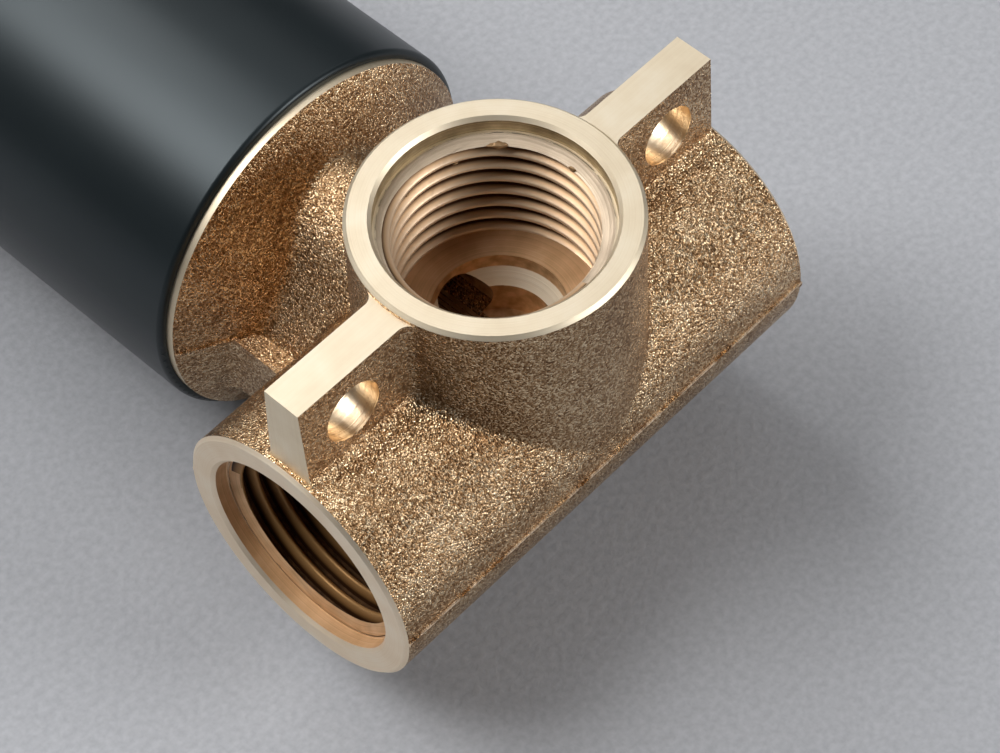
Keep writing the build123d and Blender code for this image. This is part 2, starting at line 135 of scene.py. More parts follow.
def mix_colour(tree, factor, first, second):
    mixer = add_node(tree, "Mix", {0: factor, 6: first, 7: second}, data_type="RGBA")
    return mixer.outputs[2]


def new_group(name, inputs, outputs):
    group = bpy.data.node_groups.new(name, "ShaderNodeTree")
    for socket, kind in inputs:
        group.interface.new_socket(socket, in_out="INPUT", socket_type="NodeSocket" + kind)
    for socket, kind in outputs:
        group.interface.new_socket(socket, in_out="OUTPUT", socket_type="NodeSocket" + kind)
    start = group.nodes.new("NodeGroupInput")
    end = group.nodes.new("NodeGroupOutput")
    return group, start.outputs, end.inputs


print("helpers: ready")

# %% [markdown]
# ## Sand-cast grain
# Molten brass takes the print of the sand it was poured into: rounded grains
# of about 0.2 mm, with small pits between them. One noise could do it, but up
# close it looks like worms. So a cell pattern gives the grains, each with a
# tone of its own, and a fine noise breaks them up. The group puts out a
# height for the bump, a grain value for the colour and a slow value for stains.
# Most of the grain value is the same fine noise that raises the height, so
# the colour is darker in the pits and paler on the tops: painted shade and
# painted glints, over each grain's own tone.

# %% Group: sand grain
SPECKLE_FINENESS = 1.1
SPECKLE_SHARE = 0.7
STAINS_PER_METRE = 170.0
sand_grain, given, wanted = new_group(
    "sand_grain",
    [("Vector", "Vector"), ("Grains per metre", "Float")],
    [("Height", "Float"), ("Grain", "Float"), ("Patches", "Float")],
)
cells = add_node(
    sand_grain, "TexVoronoi",
    {"Vector": given["Vector"], "Scale": given["Grains per metre"]},
    feature="F1",
)
own_tone = add_node(sand_grain, "SeparateColor", {"Color": cells.outputs["Color"]}).outputs["Red"]
finer = add_math(sand_grain, "MULTIPLY", given["Grains per metre"], SPECKLE_FINENESS)
speckle = add_node(
    sand_grain, "TexNoise",
    {"Vector": given["Vector"], "Scale": finer, "Detail": 3.0, "Roughness": 0.62},
)
patches = add_node(
    sand_grain, "TexNoise",
    {"Vector": given["Vector"], "Scale": STAINS_PER_METRE, "Detail": 4.0},
)
rounded = add_math(sand_grain, "SUBTRACT", 1.0, cells.outputs["Distance"])
most_speckle = add_math(sand_grain, "MULTIPLY", speckle.outputs["Fac"], SPECKLE_SHARE)
mixed_height = add_math(sand_grain, "ADD", rounded, most_speckle)
part_tone = add_math(sand_grain, "MULTIPLY", own_tone, 1.0 - SPECKLE_SHARE)
# Painted shade and glints: the grain value shares the fine noise of the height.
grain_tone_and_painted_shade = add_math(sand_grain, "ADD", most_speckle, part_tone)
sand_grain.links.new(mixed_height, wanted["Height"])
sand_grain.links.new(grain_tone_and_painted_shade, wanted["Grain"])
sand_grain.links.new(patches.outputs["Fac"], wanted["Patches"])
print("group:", sand_grain.name)

# %% [markdown]
# ## Tool marks
# A lathe leaves fine rings round its axis, and a milling cutter leaves
# straight marks. Both are a pattern along one line: the distance from the
# axis, or the distance across the cut. So one group turns a distance into
# streaks of uneven width, and each material feeds it its own distance.

# %% Group: tool marks
BLOTCHES_PER_METRE = 320.0
STREAK_SHARE = 0.4
tool_marks, given, wanted = new_group(
    "tool_marks",
    [("Distance", "Float"), ("Marks per metre", "Float"), ("Vector", "Vector")],
    [("Height", "Float"), ("Tone", "Float")],
)
streaks = add_node(
    tool_marks, "TexNoise",
    {"W": given["Distance"], "Scale": given["Marks per metre"], "Detail": 3.0, "Roughness": 0.7},
    noise_dimensions="1D",
)
blotches = add_node(
    tool_marks, "TexNoise",
    {"Vector": given["Vector"], "Scale": BLOTCHES_PER_METRE, "Detail": 5.0},
)
streak_part = add_math(tool_marks, "MULTIPLY", streaks.outputs["Fac"], STREAK_SHARE)
blotch_part = add_math(tool_marks, "MULTIPLY", blotches.outputs["Fac"], 1.0 - STREAK_SHARE)
tone = add_math(tool_marks, "ADD", streak_part, blotch_part)
tool_marks.links.new(streaks.outputs["Fac"], wanted["Height"])
tool_marks.links.new(tone, wanted["Tone"])
print("group:", tool_marks.name)

# %% [markdown]
# ## Fine mottle
# Coatings, rubber, moulded plastic and ceramic all have a faint unevenness:
# orange peel, mould texture or bloom. One fine noise with a slow one below
# it serves them all, at a scale that each material chooses.

# %% Group: fine mottle
DRIFTS_PER_METRE = 45.0
fine_mottle, given, wanted = new_group(
    "fine_mottle",
    [("Vector", "Vector"), ("Fineness", "Float")],
    [("Height", "Float"), ("Slow", "Float")],
)
fine = add_node(
    fine_mottle, "TexNoise",
    {"Vector": given["Vector"], "Scale": given["Fineness"], "Detail": 2.0},
)
slow = add_node(
    fine_mottle, "TexNoise",
    {"Vector": given["Vector"], "Scale": DRIFTS_PER_METRE, "Detail": 3.0},
)
fine_mottle.links.new(fine.outputs["Fac"], wanted["Height"])
fine_mottle.links.new(slow.outputs["Fac"], wanted["Slow"])
print("group:", fine_mottle.name)

# %% [markdown]
# ## A material to start from
# Every recipe starts with the same two nodes: the surface shader and the
# object coordinates, which are metres in the frame of the valve, so a grain
# of 0.2 mm is a scale of 5000 a metre on every piece.

# %% Material helpers
def new_material(name, **plain):
    material = bpy.data.materials.new(name)
    material.use_nodes = True
    tree = material.node_tree
    shader = tree.nodes["Principled BSDF"]
    for socket, value in plain.items():
        shader.inputs[socket.replace("_", " ")].default_value = value
    place = add_node(tree, "TexCoord").outputs["Object"]
    return material, tree, shader.inputs, place


def use_group(tree, group, **inputs):
    node = tree.nodes.new("ShaderNodeGroup")
    node.node_tree = group
    for name, value in inputs.items():
        socket = node.inputs[name.replace("_", " ")]
        if isinstance(value, bpy.types.NodeSocket):
            tree.links.new(value, socket)
        else:
            socket.default_value = value
    return node.outputs


def add_bump(tree, shader, height, depth):
    bump = add_node(tree, "Bump", {"Height": height, "Distance": depth, "Strength": 1.0})
    tree.links.new(bump.outputs["Normal"], shader["Normal"])


print("material helpers: ready")

# %% [markdown]
# ## Cast skin
# The skin of the casting is brass that has only been shot-blasted. A picture
# of it could be laid on, but it would stretch over the round blends. So every
# grain takes a place between a dark brown pit and a pale top: besides each
# grain's own tone, the dark pits are painted shade and the pale tops painted
# glints. The pits stay rough and the tops shine, and the bump makes them
# catch the softboxes one by one.

# %% Material: cast skin
GRAINS = 5200.0
GRAIN_DEPTH = 0.090 * MM
STAIN = 0.05
PIT_ROUGHNESS = 0.42
TOP_ROUGHNESS = 0.14
# From dark to pale: painted shade in the pits, brass, painted glints on the tops.
SKIN_TONES_PIT_SHADE_TO_GLINT = [
    (0.32, (0.17, 0.080, 0.030)), (0.50, (0.49, 0.300, 0.150)), (0.68, (1.0, 0.78, 0.51)),
]


def sand_cast(name):
    material, tree, shader, place = new_material(name, Metallic=1.0)
    sand = use_group(tree, sand_grain, Vector=place, Grains_per_metre=GRAINS)
    patchy = add_node(tree, "MapRange", {
        "Value": sand["Patches"], "From Min": 0.3, "From Max": 0.7,
        "To Min": -STAIN, "To Max": STAIN,
    })
    shaded_grain = add_math(tree, "ADD", sand["Grain"], patchy.outputs["Result"])
    colour = add_ramp(tree, shaded_grain, SKIN_TONES_PIT_SHADE_TO_GLINT)
    gloss = add_node(tree, "MapRange", {
        "Value": sand["Grain"], "To Min": PIT_ROUGHNESS, "To Max": TOP_ROUGHNESS,
    })
    tree.links.new(gloss.outputs["Result"], shader["Roughness"])
    add_bump(tree, shader, sand["Height"], GRAIN_DEPTH)
    return material, tree, shader, place, colour


cast_skin, tree, shader, place, skin_colour = sand_cast("cast_skin")
tree.links.new(skin_colour, shader["Base Color"])
print("material:", cast_skin.name)

# %% [markdown]
# ## The seam of the mould
# Where the two halves of the mould met, a thread of brass squeezed out. It is
# ground nearly flush to bare metal. Its upper edge, which faces the lamps, is
# a bright broken line on the skin: partly ground metal, partly painted highlight.
# The line could be a piece of its own, but it has no thickness. So the height
# above the parting plane picks that edge, and noise breaks it up.

# %% Material: seam skin
# Painted highlight on the seam's upper edge, over its ground metal.
SEAM_PAINTED_HIGHLIGHT = (0.94, 0.74, 0.54, 1.0)
SEAM_EDGE = 0.20 * MM
SEAM_FADE = (0.04 * MM, 0.10 * MM)
SEAM_BREAKS = (0.38, 0.54)
SEAM_BREAKS_PER_METRE = 420.0
seam_skin, tree, shader, place, skin_colour = sand_cast("seam_skin")
height = add_node(tree, "SeparateXYZ", {"Vector": place}).outputs["Z"]
off_crest = add_math(tree, "ABSOLUTE", add_math(tree, "SUBTRACT", height, SEAM_EDGE), 0.0)
crest = add_node(tree, "MapRange", {
    "Value": off_crest, "From Min": SEAM_FADE[0], "From Max": SEAM_FADE[1],
    "To Min": 1.0, "To Max": 0.0,
})
breaks = use_group(tree, fine_mottle, Vector=place, Fineness=SEAM_BREAKS_PER_METRE)
solid = add_node(tree, "MapRange", {
    "Value": breaks["Height"], "From Min": SEAM_BREAKS[0], "From Max": SEAM_BREAKS[1],
})
seam_highlight_mask = add_math(tree, "MULTIPLY", crest.outputs["Result"], solid.outputs["Result"])
seam_colour = mix_colour(tree, seam_highlight_mask, skin_colour, SEAM_PAINTED_HIGHLIGHT)
tree.links.new(seam_colour, shader["Base Color"])
# The painted highlight loses its metal shine, so it stays bright whatever it mirrors.
dulled = add_node(tree, "MapRange", {"Value": seam_highlight_mask, "To Min": 1.0, "To Max": 0.1})
tree.links.new(dulled.outputs["Result"], shader["Metallic"])
print("material:", seam_skin.name)

# %% [markdown]
# ## Tones of brass
# One brass looks different by how it was cut and kept. A sharp tool on an
# open face leaves it pale gold, the tube's ends are a little pinker, a dull
# drill and cutting oil make it brown, and the first turn of a thread is worn.
# Each tone is a list of three stops, so a recipe takes it as one value.

# %% Tones of brass
PALE_BRASS = [
    (0.30, (0.83, 0.70, 0.51)), (0.52, (0.90, 0.78, 0.59)), (0.72, (0.95, 0.85, 0.68)),
]
PINK_BRASS = [
    (0.30, (0.92, 0.75, 0.55)), (0.52, (0.97, 0.82, 0.63)), (0.72, (1.0, 0.89, 0.72)),
]
WORN_BRASS = [
    (0.30, (0.48, 0.38, 0.28)), (0.52, (0.58, 0.47, 0.35)), (0.72, (0.68, 0.56, 0.43)),
]
OILY_BRASS = [
    (0.30, (0.56, 0.32, 0.15)), (0.52, (0.78, 0.48, 0.25)), (0.72, (0.92, 0.64, 0.38)),
]
DULL_BRASS = [
    (0.34, (0.26, 0.20, 0.11)), (0.50, (0.46, 0.36, 0.22)), (0.66, (0.72, 0.60, 0.40)),
]
DRILLED_BRASS = [
    (0.30, (0.40, 0.24, 0.11)), (0.50, (0.80, 0.63, 0.43)), (0.70, (0.92, 0.80, 0.62)),
]
print("tones of brass: 6")

# %% [markdown]
# ## Turned and milled brass
# The marks of a lathe run in rings round its axis, so the distance from that
# axis is worked out in the shader: the part along the axis is taken away, and
# the length of the rest is the distance. Milled lug tops use one straight
# direction instead, and so do the walls of a mouth, whose rings lie one above
# the other. One function does all of them, and only its values change.

# %% Material: cut brass
UPRIGHT_RINGS = (1, 1, 0)
TUBE_RINGS = (0, 1, 1)
SLEEVE_RINGS = (1, 0, 1)
ALONG_X = (1, 0, 0)
ALONG_Y = (0, 1, 0)
ALONG_Z = (0, 0, 1)
FACING_DEPTH = 0.012 * MM


def cut_brass(name, across, marks, roughness, tones, depth=FACING_DEPTH, metallic=1.0):
    material, tree, shader, place = new_material(name, Metallic=metallic, Roughness=roughness)
    kept = add_node(tree, "VectorMath", {0: place, 1: across}, operation="MULTIPLY")
    distance = add_node(tree, "VectorMath", {0: kept.outputs["Vector"]}, operation="LENGTH")
    lines = use_group(
        tree, tool_marks,
        Distance=distance.outputs["Value"], Marks_per_metre=marks, Vector=place,
    )
    tree.links.new(add_ramp(tree, lines["Tone"], tones), shader["Base Color"])
    add_bump(tree, shader, lines["Height"], depth)
    return material


turned_z = cut_brass("turned_brass_upright", UPRIGHT_RINGS, 5200.0, 0.52, PALE_BRASS)
turned_x = cut_brass("turned_brass_along_tube", TUBE_RINGS, 5200.0, 0.52, PINK_BRASS)
turned_y = cut_brass("turned_brass_along_sleeve", SLEEVE_RINGS, 5200.0, 0.52, PALE_BRASS)
milled = cut_brass("milled_brass", ALONG_Y, 3600.0, 0.52, PALE_BRASS)
print("materials:", turned_z.name, turned_x.name, turned_y.name, milled.name)

# %% [markdown]
# ## Mouths, steps and holes
# Inside a mouth the tool chatters and leaves deeper marks, and oil stays in
# them. Pure metal would go black there, because it has only the dark bore to
# mirror. So the deep faces mix in some of the plain colour, with a lower
# metallic value, which stands for their film of oil.

# %% Materials: mouths, steps and holes
drilled = cut_brass("drilled_brass", ALONG_Y, 2600.0, 0.30, DRILLED_BRASS, 0.06 * MM)
mouth_z = cut_brass("mouth_wall_upright", ALONG_Z, 7000.0, 0.68, DULL_BRASS, 0.05 * MM)
mouth_x = cut_brass("mouth_wall_along_tube", ALONG_X, 7000.0, 0.5, OILY_BRASS, 0.03 * MM, 0.3)
shoulder_z = cut_brass(
    "shoulder_rings", UPRIGHT_RINGS, 2600.0, 0.42, OILY_BRASS, 0.03 * MM, 0.25,
)
first_turn_z = cut_brass(
    "first_turn_upright", UPRIGHT_RINGS, 5200.0, 0.55, WORN_BRASS, 0.03 * MM,
)
cone_z = cut_brass("cone_ring", UPRIGHT_RINGS, 3000.0, 0.40, PALE_BRASS, 0.04 * MM, 0.0)
print("materials:", drilled.name, mouth_z.name, mouth_x.name, shoulder_z.name, cone_z.name)

# %% [markdown]
# ## Brass deep in the bores
# Further in, no ring can be told from the next, and the oil has dried to a
# brown film of uneven tone. A fine mottle between two tones is enough. The
# same recipe, darker, serves torn burrs, and darkest it is painted groove
# shade on the wall between the ridges of a thread.

# %% Materials: oily brass
OIL_SPOTS_PER_METRE = 900.0
OIL_DEPTH = 0.01 * MM


def oily_brass(name, dark, light, roughness):
    material, tree, shader, place = new_material(name, Metallic=0.6, Roughness=roughness)
    oil = use_group(tree, fine_mottle, Vector=place, Fineness=OIL_SPOTS_PER_METRE)
    film = add_ramp(tree, oil["Height"], [(0.35, dark), (0.65, light)])
    tree.links.new(film, shader["Base Color"])
    add_bump(tree, shader, oil["Height"], OIL_DEPTH)
    return material


bore_brass = oily_brass("bore_brass", (0.54, 0.32, 0.15), (0.80, 0.53, 0.29), 0.44)
crumb_brass = oily_brass("crumb_brass", (0.18, 0.10, 0.045), (0.38, 0.24, 0.12), 0.5)
# Painted groove shade: the wall between thread ridges, where the ridges keep the light off.
groove_shade_brass = oily_brass("groove_shade_brass", (0.075, 0.035, 0.014), (0.15, 0.075, 0.03), 0.5)
print("materials:", bore_brass.name, crumb_brass.name, groove_shade_brass.name)

# %% [markdown]
# ## Coatings, rubbers, plastics and ceramic
# These pieces share one recipe: a base colour that drifts slowly between two
# close tones, and a bump of fine mottle. Only the tones, the gloss and the
# fineness change, so the recipe is a function and each finish is one call. The
# coat of the sleeve mirrors a little bluish, which its specular tint gives.

# %% Materials: the mottled family
def mottled(name, dark, light, roughness, fineness, depth, metallic=0.0, specular=0.5):
    material, tree, shader, place = new_material(
        name, Metallic=metallic, Roughness=roughness, Specular_IOR_Level=specular,
    )
    mottle = use_group(tree, fine_mottle, Vector=place, Fineness=fineness)
    drift = add_ramp(tree, mottle["Slow"], [(0.3, dark), (0.7, light)])
    tree.links.new(drift, shader["Base Color"])
    add_bump(tree, shader, mottle["Height"], depth)
    return material


COAT_SHEEN = (0.86, 0.96, 1.0, 1.0)
black_coat = mottled(
    "black_coat", (0.007, 0.010, 0.0115), (0.010, 0.0145, 0.0165),
    0.36, 5200.0, 0.003 * MM, specular=0.42,
)
coat_shader = black_coat.node_tree.nodes["Principled BSDF"]
coat_shader.inputs["Specular Tint"].default_value = COAT_SHEEN
black_plastic = mottled(
    "black_plastic", (0.016, 0.016, 0.017), (0.024, 0.024, 0.025), 0.5, 4000.0, 0.006 * MM,
)
rubber = mottled(
    "seal_rubber", (0.018, 0.018, 0.018), (0.032, 0.031, 0.030), 0.62, 2600.0, 0.012 * MM,
)
cream_plastic = mottled(
    "cartridge_plastic", (0.66, 0.66, 0.62), (0.74, 0.74, 0.70), 0.42, 2400.0, 0.006 * MM,
)
stop_plastic = mottled(
    "stop_plastic", (0.60, 0.15, 0.05), (0.70, 0.20, 0.07), 0.42, 2400.0, 0.006 * MM,
)
ceramic = mottled(
    "disc_ceramic", (0.84, 0.83, 0.80), (0.90, 0.89, 0.86), 0.14, 1500.0, 0.001 * MM,
)
steel = mottled(
    "spring_steel", (0.50, 0.50, 0.51), (0.60, 0.60, 0.61),
    0.28, 6000.0, 0.004 * MM, metallic=1.0,
)
print("materials: coatings, rubbers, plastics, ceramic and steel")

# %% [markdown]
# ## From the frame's mesh to a smooth piece
# The frame's mesh is loose triangles, true to the size of the part. A copy is
# merged along its shared edges, so light can flow over the round faces, and
# is kept sharp where two faces meet at a clear angle. The copy then takes the
# place of the frame's own node and rides on the same body.

# %% Smooth copy of a node
SHARP_ANGLE = math.radians(28)
MERGE = 0.002 * MM


def smooth_copy(name, node, body, materials):
    mesh = frame["nodes"][node].data.copy()
    mesh.name = name
    mesh.materials.clear()
    for material in materials:
        mesh.materials.append(material)
    form = bmesh.new()
    form.from_mesh(mesh)
    bmesh.ops.remove_doubles(form, verts=form.verts, dist=MERGE)
    bmesh.ops.dissolve_degenerate(form, edges=form.edges, dist=MERGE / 10)
    for face in form.faces:
        face.smooth = True
        face.material_index = 0
    for edge in form.edges:
        edge.smooth = edge.is_manifold and edge.calc_face_angle(0.0) < SHARP_ANGLE
    form.to_mesh(mesh)
    form.free()
    piece = bpy.data.objects.new(name, mesh)
    bpy.context.scene.collection.objects.link(piece)
    weighted = piece.modifiers.new("even_shading", "WEIGHTED_NORMAL")
    weighted.keep_sharp = True
    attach(piece, body)
    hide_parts(node)
    return piece


body_of_node = {
    node: body for body, nodes in frame["record"]["behaviour"]["bodies"].items() for node in nodes
}
print("bodies:", sorted(set(body_of_node.values())))

# %% [markdown]
# ## The brass casting: its sizes
# The casting is one piece with many kinds of surface. The foundry leaves the
# skin, and then the rims, mouths, bores, lug tops and the seat of the sleeve
# are cut. To tell these apart, the script has to know where the cuts end. The
# frame gives the faces, the thread and the lug holes, and the steps inside
# are written here once, as the part has them.

# %% Casting: sizes
mounts = {mount["name"]: mount for mount in frame["record"]["mounts"]}
body_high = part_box("valve_body")[1]
port_face = body_high.x
boss_face = body_high.z
THREAD_R = mounts["outlet"]["dims"]["r_mm"] * MM
HOLE_R = mounts["wall_lugs"]["dims"]["hole_r_mm"] * MM
HOLE_X = mounts["wall_lugs"]["dims"]["spacing_x_mm"] / 2 * MM
HOLE_Z = mounts["wall_lugs"]["pos_m"][2]
RECESS_R = 10.80 * MM
RECESS_DEEP = 1.7 * MM
SKIN_STEP = 0.36 * MM
OUTLET_SHOULDER = 10.0 * MM
INLET_SHOULDER = 12.6 * MM
INLET_START = 6.0 * MM
WELL_CONE = (6.6 * MM, 8.8 * MM)
TUBE_INSIDE = 12.4 * MM
LUG_END = 26.2 * MM
LUG_TOP = 23.7 * MM
SEAT_START = 24.3 * MM
print("ports at", round(port_face / MM, 2), "mm, boss at", round(boss_face / MM, 2), "mm")

# %% [markdown]
# ## How near is near enough
# A face is known by its middle and by the way it looks. The middle of a flat
# triangle on a round wall lies a little inside the wall, so each test allows
# some play. A face that leans less than about 25 degrees counts as square to
# an axis.

# %% Casting: tolerances
PLAY = 0.1 * MM
SMALL_PLAY = 0.05 * MM
FINE_PLAY = 0.02 * MM
SQUARE = 0.9
CONE_LEAN = (0.2, 0.95)
BORE_START = 1.0 * MM
print("play:", round(PLAY / MM, 2), "mm")

# %% [markdown]
# ## Finishes inside the outlet boss and the tube
# Both bores are cut in the same order: a recess at the mouth, the threaded
# wall, a shoulder and a plain bore. The faces could be painted by hand in the
# editor, but a rule by radius and depth stays right when a size changes.

# %% Casting: bores
def in_bore(from_axis, along, face):
    return from_axis < RECESS_R + PLAY and BORE_START < along < face - SKIN_STEP


def on_thread_wall(from_axis, along, shoulder):
    return abs(from_axis - THREAD_R) < PLAY and along > shoulder


def boss_bore_finish(from_axis, z, normal):
    if z > boss_face - RECESS_DEEP - SMALL_PLAY:
        return turned_z if normal.z > SQUARE else mouth_z
    # The threaded wall behind the ridges gets the painted groove shade.
    if on_thread_wall(from_axis, z, OUTLET_SHOULDER):
        return groove_shade_brass
    if WELL_CONE[0] < z < WELL_CONE[1] and CONE_LEAN[0] < normal.z < CONE_LEAN[1]:
        return cone_z
    on_shoulder = z > OUTLET_SHOULDER - PLAY and normal.z > SQUARE
    return shoulder_z if on_shoulder else bore_brass


def tube_bore_finish(from_axis, along, normal):
    if along > port_face - RECESS_DEEP - SMALL_PLAY:
        return turned_x if abs(normal.x) > SQUARE else mouth_x
    # The threaded wall behind the ridges gets the painted groove shade.
    return groove_shade_brass if on_thread_wall(from_axis, along, INLET_SHOULDER) else bore_brass


def inside_walls(from_tube_axis, from_boss_axis, along_tube, z):
    in_tube = from_tube_axis < TUBE_INSIDE and along_tube < port_face - SKIN_STEP
    in_boss = from_boss_axis < TUBE_INSIDE and 0 < z < boss_face - SKIN_STEP
    return in_tube or in_boss


print("bore finishes: ready")

# %% [markdown]
# ## Seam and ducts
# The seam runs round the casting at the height of the tube. It is ground away
# where the neck meets the cone, so only the back and the two ends of the front
# count. The ducts lead from the tube to the cartridge: their walls look at the
# axis of the sleeve and lie near it, in front of the tube.

# %% Casting: seam and ducts
SEAM_HALF = 0.26 * MM
SEAM_BACK = 13.72 * MM
SEAM_FRONT_END = 17.0 * MM
DUCT_FRONT = 10.0 * MM
DUCT_CLEAR_OF_TUBE = 14.0 * MM
DUCT_REACH = 12.0 * MM
DUCT_HALF_HEIGHT = 7.3 * MM
DUCT_LEAN = -0.1


def on_seam(x, y, z):
    at_back = y > SEAM_BACK
    at_front_end = y < -SEAM_BACK and abs(x) > SEAM_FRONT_END
    return abs(z) < SEAM_HALF and (at_back or at_front_end)


def in_duct(x, y, z, normal):
    before_tube = y < -DUCT_FRONT and math.hypot(y, z) > DUCT_CLEAR_OF_TUBE
    near_axis = math.hypot(x, z) < DUCT_REACH and abs(z) < DUCT_HALF_HEIGHT
    looks_in = normal.y > DUCT_LEAN and normal.x * x + normal.z * z < 0
    return before_tube and near_axis and looks_in


print("seam and ducts: ready")

# %% [markdown]
# ## Which finish a face gets
# The tests run from the outside in: first the two flat rims, then the bores,
# then the holes and the milled faces. What no tool has touched is left over,
# and that is the skin. The order matters, because a rim also lies in the bore.

# %% Casting: one finish for each face
def finish_of(centre, normal):
    x, y, z = centre
    from_boss_axis = math.hypot(x, y)
    from_tube_axis = math.hypot(y, z)
    if abs(x) > port_face - SKIN_STEP:
        return turned_x
    if z > boss_face - SKIN_STEP:
        return turned_z
    if in_bore(from_boss_axis, z, boss_face):
        return boss_bore_finish(from_boss_axis, z, normal)
    if in_bore(from_tube_axis, abs(x), port_face) and abs(x) > INLET_START:
        return tube_bore_finish(from_tube_axis, abs(x), normal)
    if math.hypot(abs(x) - HOLE_X, z - HOLE_Z) < HOLE_R + FINE_PLAY:
        return drilled
    if inside_walls(from_tube_axis, from_boss_axis, abs(x), z):
        return bore_brass
    if z > LUG_TOP - SMALL_PLAY and normal.z > SQUARE:
        return milled
    if abs(x) > LUG_END - PLAY and abs(normal.x) > SQUARE:
        return milled
    if y < -SEAT_START + FINE_PLAY / 2:
        return turned_y
    if on_seam(x, y, z):
        return seam_skin
    return bore_brass if in_duct(x, y, z, normal) else cast_skin


casting_finishes = [
    cast_skin, seam_skin, turned_x, turned_y, turned_z, milled, drilled,
    bore_brass, groove_shade_brass, mouth_x, mouth_z, shoulder_z, cone_z,
]
print("finishes of the casting:", len(casting_finishes))

# %% [markdown]
# ## Dress the casting
# The copy of the casting carries all its finishes as material slots, and each
# face gets the number of its slot. The count of faces in each finish shows
# whether a rule has caught too much or nothing at all.

# %% Casting: build it
casting = smooth_copy("valve_casting", "valve_body", "valve", casting_finishes)
for face in casting.data.polygons:
    face.material_index = casting_finishes.index(finish_of(face.center, face.normal))
slots_in_use = [face.material_index for face in casting.data.polygons]
for number, finish in enumerate(casting_finishes):
    print(finish.name, slots_in_use.count(number), "faces")

# %% [markdown]
# ## Cut pipe threads
# Half-inch pipe thread has a turn every 1.814 mm, flanks at 55 degrees and
# rounded crests. A bump could only hint at it, and the picture looks straight
# into the thread, so the ridge is real. Its foot reaches a little behind the
# wall of the bore, so that no light shows between them.

# %% Threads: sizes
PITCH = 1.8143 * MM
CREST_R = 9.32 * MM
FOOT_R = THREAD_R + 0.12 * MM
FLANK = math.tan(math.radians(27.5))
CREST_HALF = 0.15 * MM
CREST_SOFT = 0.09 * MM
COUNTERSINK = math.tan(math.radians(20))
STEPS_PER_TURN = 96
THREAD_EDGE = math.radians(50)
print("thread: pitch", round(PITCH / MM, 2), "mm, depth", round((THREAD_R - CREST_R) / MM, 2), "mm")

# %% [markdown]
# ## The outline of one ridge
# Cut across, the ridge is a low hill: a foot on each side, a straight flank,
# two points that round the edge, and the crest. Each point is a radius and a
# height, and the lower half mirrors the upper.

# %% Threads: outline
def ridge_outline():
    foot = (FOOT_R - CREST_R) * FLANK + CREST_HALF
    upper = [
        (CREST_R + CREST_SOFT * 0.45, CREST_HALF * 0.75),
        (CREST_R + CREST_SOFT * 1.6, CREST_HALF + CREST_SOFT * 0.8),
        (FOOT_R, foot),
    ]
    lower = [(radius, -height) for radius, height in reversed(upper)]
    return [*lower, (CREST_R, 0.0), *upper]


print("outline:", len(ridge_outline()), "points")

# %% [markdown]
# ## Spin the ridge
# A tap cuts a groove that climbs as it turns, so the outline is spun round
# the axis and raised at every step. It starts one turn low and ends one turn
# high, and two planes then trim it flat, as the shoulder and the recess trim
# the real one.

# %% Threads: spin and trim
def thread_ridge(name, start, end, spin_from):
    ridge_low = start - PITCH
    turns = math.ceil((end - start) / PITCH) + 2
    form = bmesh.new()
    dots = [form.verts.new((radius, 0.0, ridge_low + up)) for radius, up in ridge_outline()]
    profile = form.faces.new(dots)
    bmesh.ops.spin(
        form, geom=[profile, *profile.edges, *profile.verts], cent=(0, 0, 0), axis=(0, 0, 1),
        dvec=(0, 0, PITCH / STEPS_PER_TURN), angle=math.tau * turns, steps=STEPS_PER_TURN * turns,
    )
    bmesh.ops.remove_doubles(form, verts=form.verts, dist=MERGE / 4)
    bmesh.ops.recalc_face_normals(form, faces=form.faces)
    for level, side in ((start, -1), (end, 1)):
        cut = bmesh.ops.bisect_plane(
            form, geom=[*form.verts, *form.edges, *form.faces], dist=MERGE / 20,
            plane_co=(0, 0, level), plane_no=(0, 0, side), clear_outer=True,
        )
        rim = [item for item in cut["geom_cut"] if isinstance(item, bmesh.types.BMEdge)]
        bmesh.ops.holes_fill(form, edges=rim, sides=0)
    turn_start = Matrix.Rotation(spin_from, 3, "Z")
    bmesh.ops.rotate(form, verts=form.verts, cent=(0, 0, 0), matrix=turn_start)
    print(name, len(form.faces), "faces")
    return form


print("ridge: ready")

# %% [markdown]
# ## From ridge to piece
# The mouth of a thread is countersunk, so the first turn leans back towards
# the axis. Every point above that lean is lowered onto it and marked, and
# faces with only marked points get the finish of the mouth. The ridge is then
# turned towards its port, and its edges stay sharp where they are clear.

# %% Threads: make a piece
def thread_piece(name, start, end, spin_from, onto, finish, mouth):
    form = thread_ridge(name, start, end, spin_from)
    for dot in form.verts:
        inward = FOOT_R - math.hypot(dot.co.x, dot.co.y)
        limit = end - COUNTERSINK * inward
        dot.tag = dot.co.z > limit - MERGE
        dot.co.z = min(dot.co.z, limit)
    bmesh.ops.transform(form, matrix=onto, verts=form.verts)
    bmesh.ops.recalc_face_normals(form, faces=form.faces)
    mesh = bpy.data.meshes.new(name)
    for edge in form.edges:
        edge.smooth = edge.calc_face_angle(0.0) < THREAD_EDGE
    for face in form.faces:
        face.smooth = True
        face.material_index = int(all(dot.tag for dot in face.verts))
    form.to_mesh(mesh)
    form.free()
    mesh.materials.append(finish)
    mesh.materials.append(mouth)
    piece = bpy.data.objects.new(name, mesh)
    bpy.context.scene.collection.objects.link(piece)
    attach(piece, "valve")


print("thread pieces: ready")

# %% [markdown]
# ## The finish of a thread
# The crests are pale brass, and the grooves are painted dark: painted shade
# where the ridges keep the light out. How deep a point lies follows from its
# distance to the axis, so a ramp from crest to wall gives the colour. The
# ports see less light than the outlet, and their thread is browner and darker.

# %% Threads: finish
# Pale crest, then painted groove shade towards the wall.
OUTLET_TONES_GROOVE_SHADE = [
    (0.0, (0.89, 0.69, 0.49)), (0.36, (0.68, 0.44, 0.25)), (0.60, (0.06, 0.022, 0.007)),
]
